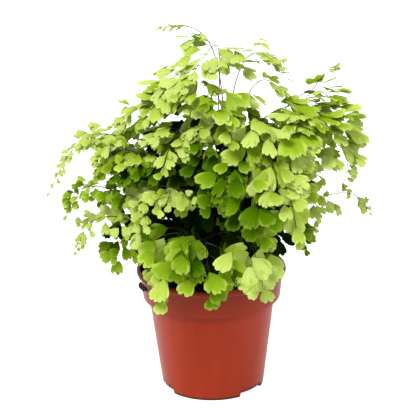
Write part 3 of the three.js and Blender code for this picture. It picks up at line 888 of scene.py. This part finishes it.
class FERN_OT_grow_withered(bpy.types.Operator):
    """Grow the withered leaf that hangs over the rim"""

    bl_idname = "fern.grow_withered"
    bl_label = "Grow Withered Leaf"

    def execute(self, context):
        look = context.scene.fern_leaf
        materials = [withered_material(look), bpy.data.materials["fern stem"]]
        body = Grower(len(FRONDS) - 1, FRONDS[-1], look).grow(crumple=0.9)
        mesh = body.mesh("fine_withered")
        place(context, "fine_withered", mesh, materials, "withered", "frond_withered")
        return {"FINISHED"}


# The pot's profile in millimetres, as radius and height, from the middle of its underside out,
# up, over the rim and down inside to the middle of its floor
POT_PROFILE = np.array([
    (10, 5), (20, 5), (28, 5), (36.2, 5), (37.2, 4.6), (38.2, 0.5), (38.6, 0), (40.5, 0),
    (40.9, 0.2), (41.05, 0.8), (41.13, 1.4), (41.3, 2.8), (50.45, 75.2), (50.75, 75.85),
    (51.3, 76), (54.6, 76), (55.05, 76.2), (55.25, 76.8), (57.05, 93.4), (57.4, 94.4), (58.4, 95),
    (59.3, 95.5), (59.8, 96.2), (60, 97.2), (59.85, 98.5), (59.4, 99.5), (58.8, 99.9), (58.1, 100),
    (57.5, 99.8), (57.1, 99.2), (56.8, 98), (53.9, 77.3), (53.6, 76.5), (49.6, 75.5),
    (49.25, 74.8), (40.2, 6.9), (39.6, 6.3), (28, 6.3), (20, 6.3), (10, 6.3),
])
# The foot's rows, which a cut-out lifts up the sloping wall, and each cut-out's first and last degree
FOOT_ROWS = slice(5, 12)
WALL_SLOPE = 0.126
CUTOUT_HEIGHT = 3.4
CUTOUTS = [(-58, -21), (62, 99), (182, 219)]
# The drain holes' middles and half width in degrees, and the two rows of cells that they go through
DRAINS = (45, 135, 225, 315)
DRAIN_HALF = 10
UNDER_ROW, FLOOR_ROW = 1, 37


class FERN_OT_turn_pot(bpy.types.Operator):
    """Turn the pot: bead lip, band, step, tapering wall, foot with cut-outs, and drain holes"""

    bl_idname = "fern.turn_pot"
    bl_label = "Turn Pot"

    def execute(self, context):
        look = context.scene.fern_pot
        degrees = np.arange(360)
        radius = np.repeat(POT_PROFILE[:, :1], 360, 1)
        height = np.repeat(POT_PROFILE[:, 1:], 360, 1)
        for first, last in CUTOUTS:
            inside = (degrees - first) % 360 <= last - first
            height[FOOT_ROWS, inside] += CUTOUT_HEIGHT
            radius[FOOT_ROWS, inside] += WALL_SLOPE * CUTOUT_HEIGHT
        skip = np.zeros((len(POT_PROFILE) - 1, 360), bool)
        for middle in DRAINS:
            hole = (degrees - middle + DRAIN_HALF) % 360 < 2 * DRAIN_HALF
            skip[UNDER_ROW, hole] = skip[FLOOR_ROW, hole] = True
        points, index, faces = turned(radius, height, POT_PROFILE[0, 1], POT_PROFILE[-1, 1], skip)
        # The foot's rows are marked for the painted shade along the foot
        edge = np.zeros(len(points))
        edge[index[FOOT_ROWS][:-1]] = 1
        body = Body()
        body.add(points, faces, edge=edge)
        body.faces.extend(self.drain_walls(index))
        body.slots.extend([np.zeros(len(f), int) for f in body.faces[len(faces):]])
        mesh = body.mesh("fine_pot", sharp=math.radians(35))
        place(context, "fine_pot", mesh, [pot_material(look)], "pot", "pot")
        return {"FINISHED"}

    @staticmethod
    def drain_walls(index):
        """The four walls of each drain hole, between the floor's two faces."""
        walls = []
        for middle in DRAINS:
            j = np.arange(middle - DRAIN_HALF, middle + DRAIN_HALF)
            a, b = j[0], j[-1] + 1
            low, high = index[UNDER_ROW], index[FLOOR_ROW + 1]
            far_low, far_high = index[UNDER_ROW + 1], index[FLOOR_ROW]
            walls.append(np.stack([low[j], low[j + 1], high[j + 1], high[j]], -1))
            walls.append(np.stack([far_low[j + 1], far_low[j], far_high[j], far_high[j + 1]], -1))
            walls.append(np.array([
                [low[a], high[a], far_high[a], far_low[a]],
                [far_low[b], far_high[b], high[b], low[b]],
            ]))
        return walls


# The soil's profile: its side from below, and the radius and grid of its top
SOIL_EDGE = 55.5
SOIL_SIDE = np.array([(20, 6.8), (39.4, 6.8), (48.7, 75), (53.2, 77), (54.9, 90)])
SOIL_RINGS, SOIL_COLUMNS = 44, 180


def soil_height(x, y, lump):
    """The soil's surface: smooth noise of pitch 11, 5 and 2.3 mm, the finer the weaker."""
    lumps = scatter_noise(x, y, 11, 3) + 0.6 * scatter_noise(x, y, 5, 17)
    return SOIL_HEIGHT + lump * (lumps + 0.35 * scatter_noise(x, y, 2.3, 29) - 1.0)


def crumb_bodies(count, lump):
    """Loose crumbs: small balls on a 6 x 3 grid, squashed and dented by noise, on the soil."""
    k = np.arange(count)
    far, turn = SOIL_EDGE * 0.97 * np.sqrt(noise(k + 0.5)), 2 * np.pi * noise(k * 1.7 + 4)
    x, y = far * np.cos(turn), far * np.sin(turn)
    size = 0.6 + 1.5 * noise(k * 2.3 + 8) ** 2
    centre = np.stack([x, y, soil_height(x, y, lump) + 0.25 * size], -1)
    tilt = np.repeat(np.radians([[-45], [0], [45]]), 6, 1)
    ball, _, faces = turned(np.cos(tilt), np.sin(tilt), -1, 1)
    dent = 0.75 + 0.5 * noise(k[:, None] * 3.1 + np.arange(len(ball)) * 5.7)
    stretch = np.stack([1 + 0.6 * noise(k + 60), 1 + 0 * k, 0.8 - 0.3 * noise(k + 70)], -1)
    points = centre[:, None] + ball * dent[..., None] * (size[:, None] * stretch)[:, None]
    return points, [f + k[:, None, None] * len(ball) for f in faces]


class FERN_OT_fill_soil(bpy.types.Operator):
    """Fill the pot with lumpy soil and scatter loose crumbs on it"""

    bl_idname = "fern.fill_soil"
    bl_label = "Fill Soil"

    def execute(self, context):
        look = context.scene.fern_soil
        lump = look.lump_height / MM
        rings = np.linspace(SOIL_EDGE, 1.0, SOIL_RINGS)
        profile = np.concatenate([SOIL_SIDE, np.stack([rings, 0 * rings], -1)])
        radius = np.repeat(profile[:, :1], SOIL_COLUMNS, 1)
        height = np.repeat(profile[:, 1:], SOIL_COLUMNS, 1)
        turn = 2 * np.pi * np.arange(SOIL_COLUMNS) / SOIL_COLUMNS
        top = slice(len(SOIL_SIDE), None)
        x, y = radius[top] * np.cos(turn), radius[top] * np.sin(turn)
        height[top] = soil_height(x, y, lump)
        middle = float(soil_height(np.zeros(1), np.zeros(1), lump)[0])
        points, _, faces = turned(radius, height, SOIL_SIDE[0, 1], middle)
        body = Body()
        body.add(points, faces)
        body.add(*crumb_bodies(look.crumbs, lump))
        mesh = body.mesh("fine_soil", sharp=math.radians(70))
        place(context, "fine_soil", mesh, [soil_material(look)], "soil", "soil")
        return {"FINISHED"}


# The camera's place in metres, how far it tilts down and rolls in degrees, and its lens in mm
CAMERA_PLACE = (-0.00023, -1.3, 0.5836)
CAMERA_TILT = 18.57
CAMERA_ROLL = 1.0
LENS = 148.08
# The point that the lights face and half the floor's width, in metres
LIT_POINT = Vector((0, 0, 0.17))
STAGE_HALF = 12.0


class FERN_OT_set_stage(bpy.types.Operator):
    """Set the floor, the soft lights, the surroundings and the camera"""

    bl_idname = "fern.set_stage"
    bl_label = "Set Stage"

    def execute(self, context):
        look = context.scene.fern_stage
        self.floor(context, look)
        self.lamp(context, "key light", (-0.8, -0.9, 1.85), 0.8, look.key_power)
        self.lamp(context, "fill light", (1.4, -0.8, 0.9), 1.1, look.fill_power)
        self.lamp(context, "back light", (0.2, 1.5, 1.2), 1.1, look.back_power)
        world = bpy.data.worlds.new("studio")
        world.use_nodes = True
        background = world.node_tree.nodes["Background"]
        background.inputs["Color"].default_value = (1, 1, 1, 1)
        background.inputs["Strength"].default_value = look.sky
        context.scene.world = world
        context.scene.view_settings.view_transform = "Standard"
        self.camera(context)
        return {"FINISHED"}

    @staticmethod
    def floor(context, look):
        signs = ((-1, -1), (1, -1), (1, 1), (-1, 1))
        corners = [(x * STAGE_HALF, y * STAGE_HALF, 0) for x, y in signs]
        mesh = bpy.data.meshes.new("floor")
        mesh.from_pydata(corners, [], [(0, 1, 2, 3)])
        mesh.materials.append(stage_material(look))
        floor = linked(context, "floor", mesh)

    @staticmethod
    def lamp(context, name, spot, size, power):
        light = bpy.data.lights.new(name, "AREA")
        light.shape = "DISK"
        light.size = size
        light.energy = power
        lamp = linked(context, name, light)
        lamp.location = spot
        lamp.rotation_euler = (LIT_POINT - Vector(spot)).to_track_quat("-Z", "Y").to_euler()

    @staticmethod
    def camera(context):
        data = bpy.data.cameras.new("camera")
        data.sensor_width = 36
        data.lens = LENS
        data.clip_end = 100
        camera = linked(context, "camera", data)
        camera.matrix_world = (
            Matrix.Translation(CAMERA_PLACE)
            @ Matrix.Rotation(math.radians(90 - CAMERA_TILT), 4, "X")
            @ Matrix.Rotation(math.radians(-CAMERA_ROLL), 4, "Z")
        )
        context.scene.camera = camera


class FERN_PT_parts(bpy.types.Panel):
    """Lists the fern's parts and their settings"""

    bl_idname = "FERN_PT_parts"
    bl_label = "Potted Fern"
    bl_space_type = "VIEW_3D"
    bl_region_type = "UI"
    bl_category = "Fern"

    def draw(self, context):
        for name, (group, *operators) in PARTS.items():
            box = self.layout.box()
            for operator in operators:
                box.operator(operator.bl_idname)
            for key in group.__annotations__:
                box.prop(getattr(context.scene, name), key)


# Settings and operators, in the order in which the parts are made
PARTS = {
    "fern_leaf": (FernLeafSettings, FERN_OT_grow_fronds, FERN_OT_grow_withered),
    "fern_soil": (FernSoilSettings, FERN_OT_fill_soil),
    "fern_pot": (FernPotSettings, FERN_OT_turn_pot),
    "fern_stage": (FernStageSettings, FERN_OT_set_stage),
}


def register():
    for name, (group, *operators) in PARTS.items():
        bpy.utils.register_class(group)
        setattr(bpy.types.Scene, name, PointerProperty(type=group))
        for operator in operators:
            bpy.utils.register_class(operator)
    bpy.utils.register_class(FERN_PT_parts)


def unregister():
    bpy.utils.unregister_class(FERN_PT_parts)
    for name, (group, *operators) in reversed(PARTS.items()):
        for operator in reversed(operators):
            bpy.utils.unregister_class(operator)
        delattr(bpy.types.Scene, name)
        bpy.utils.unregister_class(group)


def main():
    register()
    for _, *operators in PARTS.values():
        for operator in operators:
            group, name = operator.bl_idname.split(".")
            getattr(getattr(bpy.ops, group), name)()
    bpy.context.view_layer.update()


if __name__ == "__main__":
    main()
